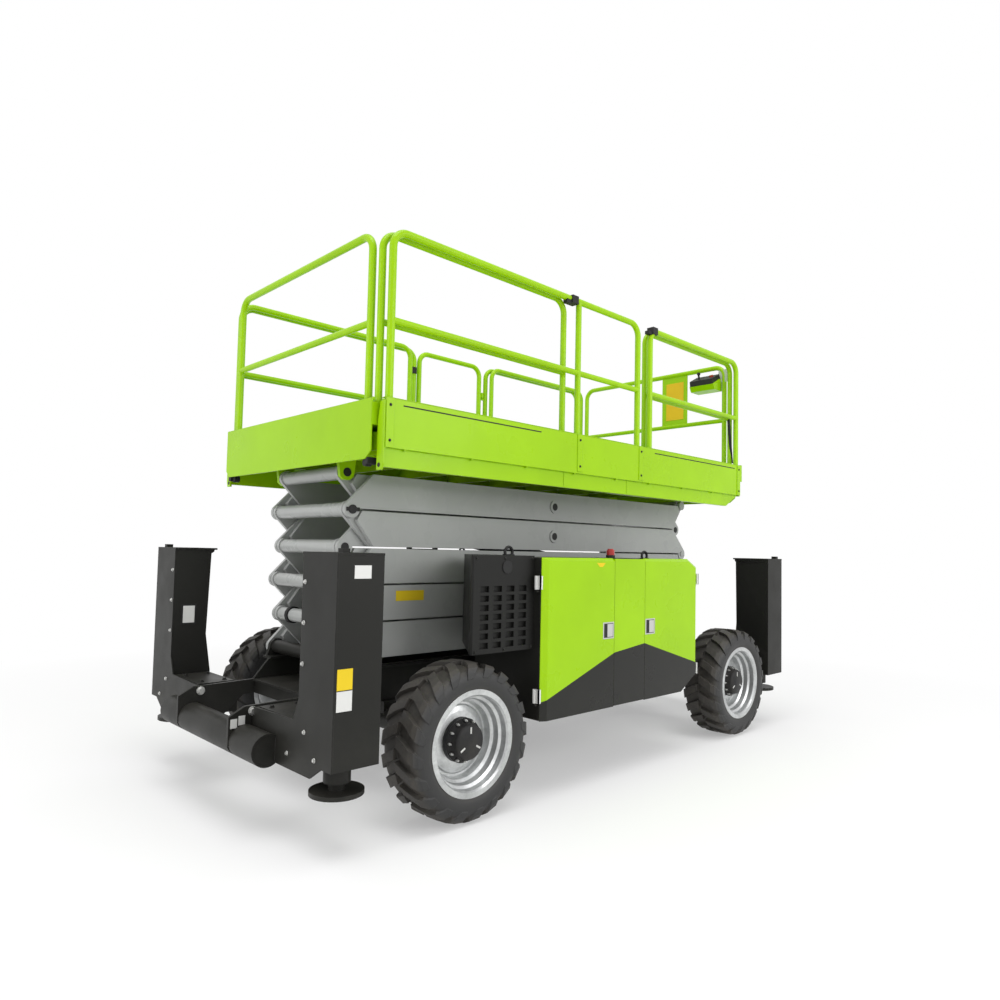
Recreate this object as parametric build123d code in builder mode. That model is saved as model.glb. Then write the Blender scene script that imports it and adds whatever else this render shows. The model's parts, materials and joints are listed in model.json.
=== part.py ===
"""A rough-terrain scissor lift with four jack legs and two sliding deck extensions.

Frame: +X along the machine to its fixed-axle end, +Z up, floor at Z = 0, millimetres.
The scissor's left pins stay over X = -PIN_X and its right pins come in as it rises.
"""

from build123d import *
from math import cos, sin, radians
import os

os.makedirs("parts", exist_ok=True)

# Overall sizes
HALF_WIDTH = 1150
HALF_LENGTH = 2352

# Wheels: rolling radius to the lugs' tips, width, centre plane, axle places along X
TYRE_R = 419
TYRE_W = 305
WHEEL_Y = HALF_WIDTH - TYRE_W / 2
STEER_X = -1360
FIXED_X = 1512
RIM_FLANGE_R = 283
RIM_SEAT_R = 254
KINGPIN_Y = WHEEL_Y - 175.5
SPINDLE_END_Y = WHEEL_Y - 92.5
STUB_END_Y = WHEEL_Y - 35.5
STUB_R = 50
RUNNING_GAP = 0.15

# Scissor: level 0 is the lowest pin, and a stage lifts a level
LEVEL_0 = 795
PITCH = 217
PIN_X = 1720
STAGES = 5
OUTER_Y = (390, 450)
INNER_Y = (324, 384)
LAP = 27
LUG_R = 50
PIN_R = 22
CENTRE_PIN_R = 26
CROSS_TUBE_R = 42
LAYER_GAP = 6
BEAM_WALL = 8

# Lift cylinders: foot on inner arms 1 and 3, rod's eye on inner arms 2 and 4
CYLINDER_X = 900
CYLINDER_FOOT_UP = 60
CYLINDER_EYE_UP = 375
BARREL_R = 62
ROD_R = 38
FOOT_PIN_R = 28

# Chassis
SIDE_PLATE_Y = 345
FRAME_END_X = HALF_LENGTH - 392
FRAME_BOTTOM = 525
FLANGE_TOP = LEVEL_0 - LUG_R - 4
END_TUBE_X = HALF_LENGTH - 85
END_TUBE_Z = 432
END_TUBE_R = 82

# Jack columns
COLUMN_X = (HALF_LENGTH - 382, HALF_LENGTH - 127)
COLUMN_Y = (HALF_WIDTH - 314, HALF_WIDTH)
COLUMN_Z = (430, 1420)
LEG_R = 65
FOOT_R = 130

# Side trays with their doors
TRAY_X = 850
TRAY_Y = (560, HALF_WIDTH - 30)
TRAY_Z = (459, 1405)
PILLAR_X = (-170, 165)
VENT_X = (-1330, -850)
VENT_Y = (560, HALF_WIDTH - 82)
VENT_Z = (870, 1417)
DOOR_SKIN = 22

# Platform
DECK_X = 1850
DECK_Y = 945
FLOOR_Z = 2050
SKIRT_Z = (1862, 1963)
TOE_TOP = 2222
TOP_RAIL_Z = 3125
MID_RAIL_Z = TOP_RAIL_Z - 485
RAIL_R = 21
RAIL_BEND = 90
MAIN_RAIL_Y = 916
SIDE_LOOP_Y = 862
GATE_X = (-245, 445)


def level(k):
    """Height of scissor level k with the lift stowed."""
    return LEVEL_0 + PITCH * k


def xz(y):
    """A plane across Y at the given place, drawn in X and Z, its normal towards -Y."""
    return Plane.XZ.offset(-y)


def block(xs, ys, zs, mode=Mode.ADD):
    """A box between two limits along each axis."""
    middle = tuple((a + b) / 2 for a, b in (xs, ys, zs))
    with Locations(middle):
        Box(abs(xs[1] - xs[0]), abs(ys[1] - ys[0]), abs(zs[1] - zs[0]), mode=mode)


def plate(plane, outline, thickness, mode=Mode.ADD):
    """A flat plate: a straight-sided outline pushed along its plane's normal."""
    with BuildSketch(plane) as face:
        with BuildLine():
            Polyline(*outline, close=True)
        make_face()
    extrude(face.sketch, amount=thickness, mode=mode)


def rod_y(x, z, radius, ys, mode=Mode.ADD):
    """A round bar along Y."""
    with BuildSketch(xz(max(ys))) as face:
        with Locations((x, z)):
            Circle(radius)
    extrude(face.sketch, amount=abs(ys[1] - ys[0]), mode=mode)


def rod_z(x, y, radius, zs, mode=Mode.ADD):
    """A round bar along Z."""
    with BuildSketch(Plane.XY.offset(min(zs))) as face:
        with Locations((x, y)):
            Circle(radius)
    extrude(face.sketch, amount=abs(zs[1] - zs[0]), mode=mode)


def bar(points, radius, bend=0):
    """A round bar along straight runs, its corners bent."""
    with BuildLine() as path:
        if bend:
            FilletPolyline(*points, radius=bend)
        else:
            Polyline(*points)
    with BuildSketch(Plane(origin=path.line @ 0, z_dir=path.line % 0)) as face:
        Circle(radius)
    sweep(face.sketch, path=path.line)


def ring(plane, outline):
    """A turned piece: an outline of (radius, place along the axis) pairs, about the plane's normal."""
    with BuildSketch(Plane(origin=plane.origin, x_dir=plane.x_dir, z_dir=plane.y_dir)) as face:
        with BuildLine():
            Polyline(*[(r, -w) for r, w in outline], close=True)
        make_face()
    revolve(face.sketch, axis=Axis(plane.origin, plane.z_dir))


def save(piece, name):
    """Labels a finished piece and writes it under the same name."""
    piece.part.label = name
    export_step(piece.part, f"parts/{name}.step")


# ---------------------------------------------------------------- wheels
# Both outlines are (radius, distance from the wheel's middle towards its outer face).
TYRE_OUTLINE = [
    (RIM_SEAT_R + 0.2, 118), (300, 140), (345, 152.5), (380, 150), (408, 138), (TYRE_R, 118),
    (TYRE_R, -118), (408, -138), (380, -150), (345, -152.5), (300, -140), (RIM_SEAT_R + 0.2, -118),
    (RIM_SEAT_R + 0.2, -92), (310, -118), (355, -124), (375, -100),
    (375, 100), (355, 124), (310, 118), (RIM_SEAT_R + 0.2, 92),
]
RIM_OUTLINE = [
    (0, 62), (88, 62), (96, 54), (112, 50), (118, 20), (150, 16), (178, 8), (186, 0), (198, 0),
    (206, 40), (222, 52), (228, 84), (244, 94), (246, 128), (254, 140), (RIM_FLANGE_R, 140),
    (RIM_FLANGE_R, 132), (262, 132), (RIM_SEAT_R, 122), (RIM_SEAT_R, 92), (240, 82), (236, 20),
    (236, -88), (RIM_SEAT_R, -92), (RIM_SEAT_R, -122), (262, -132), (RIM_FLANGE_R, -132),
    (RIM_FLANGE_R, -140), (254, -140), (244, -126), (226, -84), (222, 10), (208, -14), (190, -18),
    (150, -20), (120, -20), (118, -82), (STUB_R + RUNNING_GAP, -82), (STUB_R + RUNNING_GAP, -28), (0, -28),
]
WHEELS = [
    # name, place along X, side (-1 near, +1 far)
    ("steer_near", STEER_X, -1),
    ("steer_far", STEER_X, 1),
    ("fixed_near", FIXED_X, -1),
    ("fixed_far", FIXED_X, 1),
]
for wheel, wheel_x, side in WHEELS:
    hub = Plane(origin=(wheel_x, side * WHEEL_Y, TYRE_R), x_dir=(1, 0, 0), z_dir=(0, side, 0))
    with BuildPart() as tyre:
        ring(hub, TYRE_OUTLINE)
    save(tyre, f"{wheel}_tyre")
    with BuildPart() as rim:
        ring(hub, RIM_OUTLINE)
    save(rim, f"{wheel}_rim")

# ---------------------------------------------------------------- axles and steering
YOKE_Z = (100, 125)
KINGPIN_R = 24
with BuildPart() as steer_axle:
    rod_y(STEER_X, TYRE_R, 70, (132 - KINGPIN_Y, KINGPIN_Y - 132))
    rod_y(STEER_X, TYRE_R, 130, (-90, 90))
    for side in (-1, 1):
        block((STEER_X - 70, STEER_X + 70), (side * (KINGPIN_Y - 142), side * (KINGPIN_Y - 112)),
            (TYRE_R - 125, TYRE_R + 125))
        for up in (-1, 1):
            heights = (TYRE_R + up * YOKE_Z[0], TYRE_R + up * YOKE_Z[1])
            block((STEER_X - 50, STEER_X + 50), (side * (KINGPIN_Y - 122), side * KINGPIN_Y), heights)
            rod_z(STEER_X, side * KINGPIN_Y, 50, heights)
            rod_z(STEER_X, side * KINGPIN_Y, KINGPIN_R + RUNNING_GAP, heights, mode=Mode.SUBTRACT)
    for side in (-1, 1):
        block((STEER_X - 60, STEER_X + 60), (side * 300, side * 390), (TYRE_R, FRAME_BOTTOM))
save(steer_axle, "steer_axle")

ARM_REACH = 190
TIE_PIN_R = 8
TIE_EYE_R = 16
TIE_ROD_Y = KINGPIN_Y
for name, side in (("near_knuckle", -1), ("far_knuckle", 1)):
    with BuildPart() as knuckle:
        rod_z(STEER_X, side * KINGPIN_Y, 45, (TYRE_R - 95, TYRE_R + 95))
        rod_z(STEER_X, side * KINGPIN_Y, KINGPIN_R, (TYRE_R - 128, TYRE_R + 128))
        rod_y(STEER_X, TYRE_R, 75, (side * (KINGPIN_Y + 5), side * SPINDLE_END_Y))
        rod_y(STEER_X, TYRE_R, STUB_R, (side * (SPINDLE_END_Y - 1), side * STUB_END_Y))
        arm_outline = [
            (STEER_X - 20, side * (KINGPIN_Y - 35)), (STEER_X + ARM_REACH, side * (TIE_ROD_Y - 24)),
            (STEER_X + ARM_REACH + 16, side * TIE_ROD_Y), (STEER_X + ARM_REACH, side * (TIE_ROD_Y + 16)),
            (STEER_X, side * (KINGPIN_Y + 30)),
        ]
        plate(Plane.XY.offset(TYRE_R + 60), arm_outline, 25)
        rod_z(STEER_X + ARM_REACH, side * TIE_ROD_Y, TIE_PIN_R, (TYRE_R + 50, TYRE_R + 90))
    save(knuckle, name)

with BuildPart() as tie_rod:
    rod_y(STEER_X + ARM_REACH, TYRE_R + 30, 15, (-TIE_ROD_Y, TIE_ROD_Y))
    for side in (-1, 1):
        rod_z(STEER_X + ARM_REACH, side * TIE_ROD_Y, TIE_EYE_R, (TYRE_R + 5, TYRE_R + 55))
        rod_z(STEER_X + ARM_REACH, side * TIE_ROD_Y, TIE_PIN_R + RUNNING_GAP, (TYRE_R + 45, TYRE_R + 56),
            mode=Mode.SUBTRACT)
save(tie_rod, "tie_rod")

with BuildPart() as fixed_axle:
    rod_y(FIXED_X, TYRE_R, 75, (-SPINDLE_END_Y, SPINDLE_END_Y))
    rod_y(FIXED_X, TYRE_R, STUB_R, (-STUB_END_Y, STUB_END_Y))
    rod_y(FIXED_X, TYRE_R, 130, (-90, 90))
    for side in (-1, 1):
        block((FIXED_X - 60, FIXED_X + 60), (side * 300, side * 390), (TYRE_R, 525))
save(fixed_axle, "fixed_axle")

# ---------------------------------------------------------------- chassis
# The side plates end in six-sided cheeks that hold the end tubes.
CHEEK = [
    (HALF_LENGTH - 97, 332), (HALF_LENGTH, 417), (HALF_LENGTH, 560), (END_TUBE_X, 605), (1900,
        612), (1800, FLANGE_TOP - 10),
]
with BuildPart() as chassis_frame:
    right_half = [(HALF_LENGTH - 187, 345)] + CHEEK
    left_half = [(-x, z) for x, z in reversed(right_half)]
    outline = [(FRAME_END_X, FRAME_BOTTOM)] + right_half + left_half + [(-FRAME_END_X, FRAME_BOTTOM)]
    for side in (-1, 1):
        plate(xz(side * SIDE_PLATE_Y + 10), outline, 20)
    block((-1900, 1900), (-SIDE_PLATE_Y, SIDE_PLATE_Y), (600, 612))
    for x in (-1880, -1100, -400, 400, 1100, 1880):
        block((x - 8, x + 8), (-SIDE_PLATE_Y, SIDE_PLATE_Y), (FRAME_BOTTOM, 605))
    for side in (-1, 1):
        block((-1800, 1800), (side * 318, side * 390), (FLANGE_TOP - 14, FLANGE_TOP))
        block((-1800, -1600), (side * 380, side * 420), (FLANGE_TOP - 14, FLANGE_TOP))
        ear = [(-PIN_X - 70, FLANGE_TOP - 5), (-PIN_X - LUG_R, LEVEL_0), (-PIN_X + LUG_R, LEVEL_0),
               (-PIN_X + 70, FLANGE_TOP - 5)]
        plate(xz(max(side * 390, side * 417)), ear, LAP)
        rod_y(-PIN_X, LEVEL_0, LUG_R, (side * 390, side * 417))
        rod_y(-PIN_X, LEVEL_0, PIN_R, (side * 416, side * 458))
    rod_y(-PIN_X, LEVEL_0, CROSS_TUBE_R, (-391, 391))
    for x in (-600, 600):
        block((x - 50, x + 50), (-TRAY_Y[0], TRAY_Y[0]), (530, 600))
save(chassis_frame, "chassis_frame")

with BuildPart() as end_tubes:
    for end in (-1, 1):
        for span in ((-620, -SIDE_PLATE_Y - 10), (-SIDE_PLATE_Y + 10, SIDE_PLATE_Y - 10),
            (SIDE_PLATE_Y + 10, 620)):
            rod_y(end * END_TUBE_X, END_TUBE_Z, END_TUBE_R, span)
            rod_y(end * END_TUBE_X, END_TUBE_Z, END_TUBE_R - 10, span, mode=Mode.SUBTRACT)
save(end_tubes, "end_tubes")

# ---------------------------------------------------------------- jack columns and legs
WALL = 10
FACE_X = COLUMN_X[1]
with BuildPart() as jack_columns:
    for end in (-1, 1):
        for side in (-1, 1):
            xs = (end * COLUMN_X[0], end * COLUMN_X[1])
            ys = (side * COLUMN_Y[0], side * COLUMN_Y[1])
            block(xs, ys, COLUMN_Z)
            inner_xs = (end * (COLUMN_X[0] + WALL), end * (COLUMN_X[1] - WALL))
            inner_ys = (side * (COLUMN_Y[0] + WALL), side * (COLUMN_Y[1] - WALL))
            block(inner_xs, inner_ys, (COLUMN_Z[0] + 20, COLUMN_Z[1] - WALL), mode=Mode.SUBTRACT)
            centre_x = end * (COLUMN_X[0] + COLUMN_X[1]) / 2
            centre_y = side * (COLUMN_Y[0] + COLUMN_Y[1]) / 2
            rod_z(centre_x, centre_y, LEG_R + RUNNING_GAP, (COLUMN_Z[0] - 5, COLUMN_Z[0] + 30),
                mode=Mode.SUBTRACT)
            block((end * 1990, end * 2180), (side * 355, side * (COLUMN_Y[0] + 1)), (440, 600))
save(jack_columns, "jack_columns")

LEGS = [("near_steer_leg", -1, -1), ("far_steer_leg", -1, 1), ("near_fixed_leg", 1, -1),
    ("far_fixed_leg", 1, 1)]
for name, end, side in LEGS:
    centre_x = end * (COLUMN_X[0] + COLUMN_X[1]) / 2
    centre_y = side * (COLUMN_Y[0] + COLUMN_Y[1]) / 2
    with BuildPart() as leg:
        rod_z(centre_x, centre_y, LEG_R, (340, 1290))
        rod_z(centre_x, centre_y, 40, (305, 341))
        rod_z(centre_x, centre_y, FOOT_R, (285, 306))
    save(leg, name)

# ---------------------------------------------------------------- side trays
SHEET = 8
HINGE_X = TRAY_X + 13
HINGE_Y = HALF_WIDTH - 50
HINGE_Z = (600, 1260)
HINGE_PIN_R = 6
with BuildPart() as side_trays:
    for side in (-1, 1):
        inner, outer = side * TRAY_Y[0], side * TRAY_Y[1]
        block((-TRAY_X, TRAY_X), (inner, outer), TRAY_Z)
        hollow_ys = (inner + side * SHEET, outer + side * 1)
        block((-TRAY_X + SHEET, TRAY_X - SHEET), hollow_ys, (TRAY_Z[0] + SHEET, TRAY_Z[1] - SHEET),
            mode=Mode.SUBTRACT)
        pillar_ys = (outer, outer + side * 30) if side < 0 else (outer - 60, outer - 25)
        block(PILLAR_X, pillar_ys, TRAY_Z)
        block(PILLAR_X, (inner, outer - side * 60), (TRAY_Z[0], TRAY_Z[0] + SHEET))
        if side > 0:
            block(PILLAR_X, (outer - 25, outer + 1), (TRAY_Z[0] - 1, TRAY_Z[1] + 1), mode=Mode.SUBTRACT)
        for end in (-1, 1):
            for z in HINGE_Z:
                block((end * (TRAY_X - 4), end * (HINGE_X + 9)),
                    (side * (HINGE_Y - 12), side * (HINGE_Y + 12)), (z - 56, z - 43))
                rod_z(end * HINGE_X, side * HINGE_Y, HINGE_PIN_R, (z - 50, z + 40))
        for x in PILLAR_X:
            inward = 6 if x < 0 else -6
            block((x, x + inward), (outer - side * 60, outer), TRAY_Z)
save(side_trays, "side_trays")

with BuildPart() as vent_boxes:
    for side in (-1, 1):
        ys = (side * VENT_Y[0], side * VENT_Y[1])
        block(VENT_X, ys, VENT_Z)
        inner_ys = (side * (VENT_Y[0] + SHEET), side * (VENT_Y[1] - SHEET))
        block((VENT_X[0] + SHEET, VENT_X[1] - SHEET), inner_ys, (VENT_Z[0] + SHEET, VENT_Z[1] - SHEET),
            mode=Mode.SUBTRACT)
        for column in range(4):
            for row in range(7):
                hole_x = VENT_X[0] + 85 + column * 100
                hole_z = VENT_Z[0] + 45 + row * 52
                block((hole_x - 32, hole_x + 32), (ys[1] - 20 * side, ys[1] + side),
                    (hole_z - 17, hole_z + 17), mode=Mode.SUBTRACT)
save(vent_boxes, "vent_boxes")

with BuildPart() as engine_block:
    block((-760, -230), (-1050, -640), (TRAY_Z[0] + SHEET, 1050))
save(engine_block, "engine_block")

with BuildPart() as hydraulic_tank:
    block((-780, -260), (640, 1040), (TRAY_Z[0] + SHEET, 1120))
save(hydraulic_tank, "hydraulic_tank")

STILE_X = (PILLAR_X[0] + 24, PILLAR_X[1] - 24)
STILE_Y = (TRAY_Y[1] - 24.9, TRAY_Y[1] + 25)
with BuildPart() as ladder:
    for x in STILE_X:
        block((x - 12, x + 12), STILE_Y, (480, 1800))
    for rung in range(5):
        block(STILE_X, (TRAY_Y[1] - 20, TRAY_Y[1] + 20), (520 + 300 * rung, 545 + 300 * rung))
save(ladder, "ladder")

# ---------------------------------------------------------------- tray doors
# name, side, hinged end (-1 left, +1 right), free edge along X
DOORS = [
    ("near_steer_door", -1, -1, PILLAR_X[0] - 3),
    ("near_fixed_door", -1, 1, PILLAR_X[1] + 3),
    ("far_steer_door", 1, -1, PILLAR_X[0] - 3),
    ("far_fixed_door", 1, 1, PILLAR_X[1] + 3),
]
for name, side, end, free_x in DOORS:
    hinge_x = end * TRAY_X
    skin = [
        (hinge_x - end * 2, side * (HALF_WIDTH - DOOR_SKIN)), (hinge_x - end * 20, side * HALF_WIDTH),
        (free_x, side * HALF_WIDTH), (free_x, side * (HALF_WIDTH - DOOR_SKIN)),
    ]
    with BuildPart() as door:
        plate(Plane.XY.offset(TRAY_Z[0] - 4), skin, TRAY_Z[1] - TRAY_Z[0] + 8)
        for z in HINGE_Z:
            block((end * (HINGE_X - 4), end * (HINGE_X + 4)), (side * (HINGE_Y + 4), side * 1136),
                (z - 40, z + 40))
            block((hinge_x - end * 12, end * (HINGE_X + 4)), (side * 1128, side * 1136), (z - 40, z + 40))
            rod_z(end * HINGE_X, side * HINGE_Y, 12, (z - 40, z + 40))
            rod_z(end * HINGE_X, side * HINGE_Y, HINGE_PIN_R + RUNNING_GAP, (z - 41, z + 41),
                mode=Mode.SUBTRACT)
    save(door, name)

# ---------------------------------------------------------------- scissor arms
def beam_outline(rising):
    """The full-width beam about the arm's middle, its two pin corners cut back."""
    h = PITCH / 2
    left_end = [
        (-PIN_X + 66, -h + LAYER_GAP), (-PIN_X + 36, -h + 62), (-PIN_X + 150, h - LAYER_GAP),
    ]
    points = left_end + [(-x, -z) for x, z in left_end]
    return points if rising else [(-x, z) for x, z in points]


def lug_outline(rising, upper):
    """The plate that joins one end's round lug to the beam, about the arm's middle."""
    h = PITCH / 2
    points = [
        (-PIN_X, -h), (-PIN_X - 40, -h + 30), (-PIN_X + 140, h - LAYER_GAP),
        (-PIN_X + 220, h - LAYER_GAP), (-PIN_X + 220, -h + LAYER_GAP), (-PIN_X + 30, -h + LAYER_GAP),
    ]
    if upper:
        points = [(-x, -z) for x, z in points]
    return points if rising else [(-x, z) for x, z in points]


def arm_half(stage, rising, ys, side, lower_bore=True):
    """One of an arm's two beams with its lugs: the upper lug inside, the lower one outside."""
    near, far = side * ys[0], side * ys[1]
    middle = level(stage - 0.5)
    shift = lambda points: [(x, z + middle) for x, z in points]
    plate(xz(max(near, far)), shift(beam_outline(rising)), abs(far - near))
    hollow = [(x * 0.94, z * 0.9) for x, z in beam_outline(rising)]
    plate(xz(max(near, far) - BEAM_WALL), shift(hollow), abs(far - near) - 2 * BEAM_WALL, mode=Mode.SUBTRACT)
    upper_ys = (near, near + side * LAP)
    lower_ys = (far - side * LAP, far)
    upper_x = PIN_X if rising else -PIN_X
    plate(xz(max(upper_ys)), shift(lug_outline(rising, True)), LAP)
    rod_y(upper_x, level(stage), LUG_R, upper_ys)
    plate(xz(max(lower_ys)), shift(lug_outline(rising, False)), LAP)
    rod_y(-upper_x, level(stage - 1), LUG_R, lower_ys)
    if lower_bore:
        rod_y(-upper_x, level(stage - 1), PIN_R + RUNNING_GAP, lower_ys, mode=Mode.SUBTRACT)
    return upper_x


for stage in range(1, STAGES + 1):
    rising = stage % 2 == 1
    with BuildPart() as outer_arm:
        for side in (-1, 1):
            end_x = arm_half(stage, rising, OUTER_Y, side)
            pin_from = side * (OUTER_Y[0] + LAP - 1)
            if stage < STAGES:
                rod_y(end_x, level(stage), PIN_R, (pin_from, side * (OUTER_Y[1] + 8)))
            else:
                rod_y(end_x, level(stage), PIN_R, (pin_from, side * OUTER_Y[1]))
                rod_y(end_x, level(stage), 38, (side * (OUTER_Y[1] - 28), side * OUTER_Y[1]))
            rod_y(0, level(stage - 0.5), CENTRE_PIN_R + RUNNING_GAP,
                (side * OUTER_Y[0], side * OUTER_Y[1]), mode=Mode.SUBTRACT)
        rod_y(end_x, level(stage), CROSS_TUBE_R, (-OUTER_Y[0] - 1, OUTER_Y[0] + 1))
    save(outer_arm, f"outer_arm_{stage}")

for stage in range(1, STAGES + 1):
    rising = stage % 2 == 0
    with BuildPart() as inner_arm:
        for side in (-1, 1):
            end_x = arm_half(stage, rising, INNER_Y, side, lower_bore=stage > 1)
            pin_from = side * (INNER_Y[0] + LAP - 1)
            rod_y(end_x, level(stage), PIN_R, (pin_from, side * INNER_Y[1]))
            rod_y(0, level(stage - 0.5), CENTRE_PIN_R, (side * (INNER_Y[1] - 1), side * (OUTER_Y[1] + 8)))
            if stage == 1:
                rod_y(-end_x, LEVEL_0, LUG_R, (side * INNER_Y[0], side * (INNER_Y[1] - LAP + 1)))
            if stage in (2, 4):
                eye_z = level(stage - 2) + CYLINDER_EYE_UP
                rod_y(-CYLINDER_X, eye_z, 28, (side * 50, side * (INNER_Y[0] + 1)))
        rod_y(end_x, level(stage), CROSS_TUBE_R, (-INNER_Y[0] - 1, INNER_Y[0] + 1))
        if stage in (1, 3):
            foot_z = level(stage - 1) + CYLINDER_FOOT_UP
            rod_y(CYLINDER_X, foot_z, FOOT_PIN_R, (-INNER_Y[0] - 1, INNER_Y[0] + 1))
    save(inner_arm, f"inner_arm_{stage}")

# ---------------------------------------------------------------- lift cylinders
CYLINDERS = [("lower", 0), ("upper", 2)]
for name, base_level in CYLINDERS:
    foot = Vector(CYLINDER_X, 0, level(base_level) + CYLINDER_FOOT_UP)
    eye = Vector(-CYLINDER_X, 0, level(base_level) + CYLINDER_EYE_UP)
    along = (eye - foot).normalized()
    length = (eye - foot).length
    across = Plane(origin=foot, x_dir=(0, 1, 0), z_dir=along)
    with BuildPart() as barrel:
        with BuildSketch(across.offset(42)):
            Circle(BARREL_R)
        extrude(amount=length - 42 - 170)
        with BuildSketch(across.offset(95)):
            Circle(ROD_R + RUNNING_GAP)
        extrude(amount=length, mode=Mode.SUBTRACT)
        rod_y(foot.X, foot.Z, 52, (-45, 45))
        rod_y(foot.X, foot.Z, FOOT_PIN_R + RUNNING_GAP, (-60, 60), mode=Mode.SUBTRACT)
    save(barrel, f"{name}_lift_barrel")
    with BuildPart() as rod:
        with BuildSketch(across.offset(110)):
            Circle(ROD_R)
        extrude(amount=length - 110 - 20)
        rod_y(eye.X, eye.Z, 48, (-42, 42))
        rod_y(eye.X, eye.Z, 28, (-45, 45))
    save(rod, f"{name}_lift_rod")

# ---------------------------------------------------------------- platform
TOE_SKIN = 6
DECK_BOTTOM = FLOOR_Z - 95
CROSS_MEMBER_X = (-1844, -PIN_X, -1250, -800, -350, 100, 500, 950, 1400, 1844)
with BuildPart() as platform_deck:
    block((-DECK_X, DECK_X), (-DECK_Y + 1, DECK_Y - 1), (FLOOR_Z - 8, FLOOR_Z))
    for x in CROSS_MEMBER_X:
        block((x - 6, x + 6), (-DECK_Y + 1, DECK_Y - 1), (DECK_BOTTOM, FLOOR_Z))
    for side in (-1, 1):
        face_y = side * DECK_Y
        block((-DECK_X, DECK_X), (side * 364, side * 377), (DECK_BOTTOM, FLOOR_Z))
        block((-DECK_X, DECK_X), (side * 432, side * 444), (DECK_BOTTOM, FLOOR_Z))
        block((-DECK_X, DECK_X), (side * 900, side * 912), (SKIRT_Z[1], FLOOR_Z))
        block((-DECK_X, DECK_X), (side * 900, face_y), (SKIRT_Z[1], SKIRT_Z[1] + 8))
        block((-DECK_X, DECK_X), (face_y - side * TOE_SKIN, face_y), (SKIRT_Z[1], TOE_TOP))
        skirt = [
            (-DECK_X, SKIRT_Z[1] + 1), (-DECK_X, SKIRT_Z[0]), (DECK_X - 200, SKIRT_Z[0]),
            (DECK_X - 10, SKIRT_Z[1]), (DECK_X - 10, SKIRT_Z[1] + 1),
        ]
        plate(xz(max(side * 900, side * 925)), skirt, 25)
        ear = [
            (-PIN_X - 60, FLOOR_Z - 85), (-PIN_X - 45, level(5) - 25), (-PIN_X - 20, level(5) - 45),
            (-PIN_X + 20, level(5) - 45), (-PIN_X + 45, level(5) - 25), (-PIN_X + 60, FLOOR_Z - 85),
        ]
        ear_ys = (side * (INNER_Y[1] - LAP), side * INNER_Y[1])
        plate(xz(max(ear_ys)), ear, LAP)
        rod_y(-PIN_X, level(5), PIN_R + RUNNING_GAP, ear_ys, mode=Mode.SUBTRACT)
        block((350, 1800), (side * 420, side * 455), (level(5) + 40, DECK_BOTTOM + 1))
save(platform_deck, "platform_deck")

# Guard rails of the main deck: side, first post, last post, posts between
MAIN_RAILS = [
    (-1, -1814, 370, [-305]),
    (-1, 526, 1830, []),
    (1, -1814, GATE_X[0] - 55, []),
    (1, GATE_X[1] + 81, 1830, []),
]
GATE_HINGE_X = GATE_X[1] + 41
GATE_HINGE_Z = (TOE_TOP + 178, TOP_RAIL_Z - 275)
with BuildPart() as main_rails:
    for side, first, last, between in MAIN_RAILS:
        y = side * MAIN_RAIL_Y
        bar([(first, y, FLOOR_Z + 0.2), (first, y, TOP_RAIL_Z), (last, y, TOP_RAIL_Z), (last, y, FLOOR_Z + 0.2)],
            RAIL_R, RAIL_BEND)
        bar([(first, y, MID_RAIL_Z), (last, y, MID_RAIL_Z)], RAIL_R - 2)
        for x in between:
            bar([(x, y, FLOOR_Z + 0.2), (x, y, TOP_RAIL_Z)], RAIL_R - 1)
    for z in GATE_HINGE_Z:
        block((GATE_HINGE_X - 8, GATE_HINGE_X + 30), (MAIN_RAIL_Y - 8, MAIN_RAIL_Y + 8), (z - 20, z - 2))
        rod_z(GATE_HINGE_X, MAIN_RAIL_Y, 8, (z - 10, z + 50))
save(main_rails, "main_rails")

with BuildPart() as entry_gate:
    first, last = GATE_X
    y = MAIN_RAIL_Y
    low = TOE_TOP + 18
    bar([(first, y, low), (first, y, TOP_RAIL_Z), (last, y, TOP_RAIL_Z), (last, y, low)], RAIL_R, RAIL_BEND)
    bar([(first, y, MID_RAIL_Z), (last, y, MID_RAIL_Z)], RAIL_R - 2)
    bar([(first, y, low), (last, y, low)], RAIL_R)
    for z in GATE_HINGE_Z:
        block((last, GATE_HINGE_X), (y - 6, y + 6), (z, z + 48))
        rod_z(GATE_HINGE_X, y, 15, (z, z + 48))
        rod_z(GATE_HINGE_X, y, 8 + RUNNING_GAP, (z - 1, z + 49), mode=Mode.SUBTRACT)
save(entry_gate, "entry_gate")

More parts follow.
